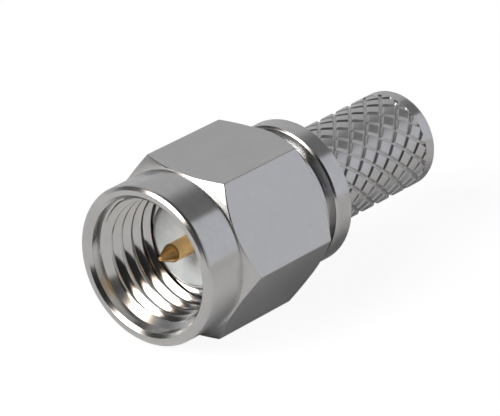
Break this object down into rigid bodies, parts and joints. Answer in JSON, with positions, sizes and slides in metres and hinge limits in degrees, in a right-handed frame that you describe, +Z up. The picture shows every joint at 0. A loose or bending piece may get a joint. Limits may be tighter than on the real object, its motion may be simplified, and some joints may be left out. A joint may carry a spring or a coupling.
{
  "type": "sma connector",
  "caption": "Straight coaxial plug with a spinning hexagon coupling nut, gold centre pin, white insulator and a diamond-knurled crimp stem for the cable.",
  "frame": {"origin": "on the connector's axis, at the reference plane where the plug's nose meets the jack", "axes": "+X along the axis, out of the mouth towards the jack; +Z up, square to a flat of the hexagon that it lies on"},
  "size_m": [0.0189, 0.0092, 0.008],
  "materials": {
    "nickel_nut": "satin nickel plate on turned brass",
    "nickel_body": "satin nickel plate on turned brass",
    "spring_bronze": "bare spring bronze",
    "silicone": "matte silicone rubber",
    "ptfe": "white PTFE, turned",
    "gold": "gold plate"
  },
  "bodies": {
    "plug": {"connector_body": "nickel_body", "insulator": "ptfe", "centre_contact": "gold", "snap_ring": "spring_bronze", "gasket": "silicone"},
    "nut": {"coupling_nut": "nickel_nut"}
  },
  "joints": [
    {"name": "nut_spin", "type": "hinge", "parent": "plug", "child": "nut", "pos_m": [0, 0, 0], "axis": [1, 0, 0], "continuous": true}
  ]
}
